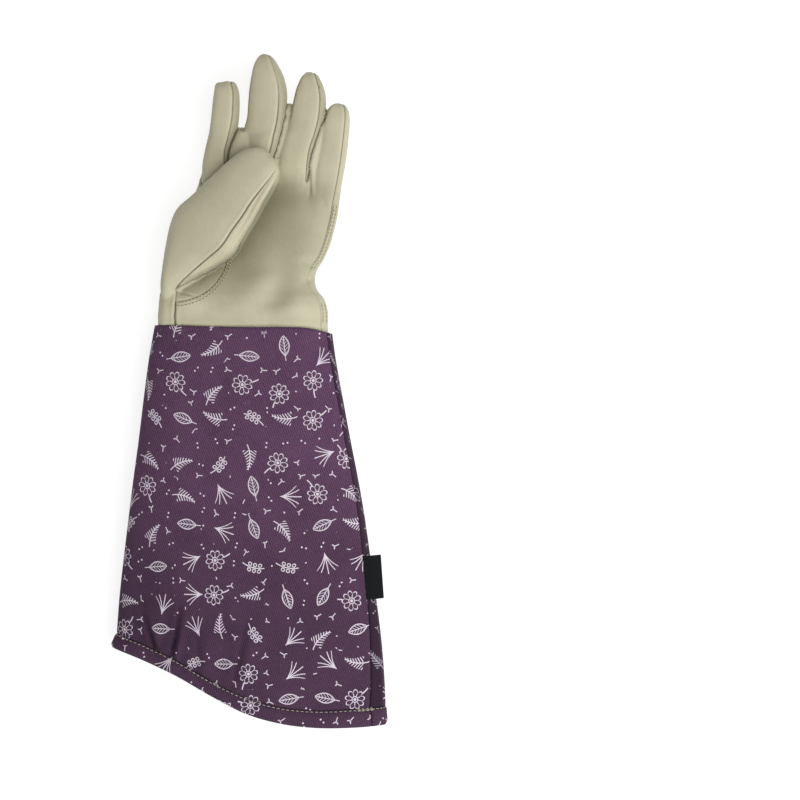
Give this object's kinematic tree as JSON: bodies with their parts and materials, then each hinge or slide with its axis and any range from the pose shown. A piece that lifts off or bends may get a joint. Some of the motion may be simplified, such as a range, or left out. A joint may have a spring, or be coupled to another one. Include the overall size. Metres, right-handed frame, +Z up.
{
  "type": "gauntlet gardening glove",
  "caption": "Left-hand gauntlet gardening glove, palm up: hollow sewn leather hand with finger strips and a thumb gusset, and a long flared cloth cuff with a deep hem and a bare side tab.",
  "frame": {"origin": "middle of the part's bounding box, at the level of the surface that it lies on", "axes": "+X to the little finger's side, +Y from the cuff to the fingertips, +Z up out of the palm"},
  "size_m": [0.1916, 0.4608, 0.0549],
  "materials": {
    "leather": "soft, smooth, faintly waxed grain in pale sage-cream",
    "cuff_cloth": "matt twill in heathered plum with a white line print of meadow plants",
    "tab_weave": "matt, close-woven black tape, bare"
  },
  "bodies": {
    "root": {"palm_panel": "leather", "back_panel": "leather", "thumb_outer": "leather", "thumb_inner": "leather", "thumb_gusset": "leather", "strip_index_inner": "leather", "strip_middle_outer": "leather", "strip_middle_inner": "leather", "strip_ring_outer": "leather", "strip_ring_inner": "leather", "strip_little_outer": "leather", "cuff": "cuff_cloth", "cuff_hem": "cuff_cloth", "side_tab": "tab_weave"}
  },
  "joints": []
}
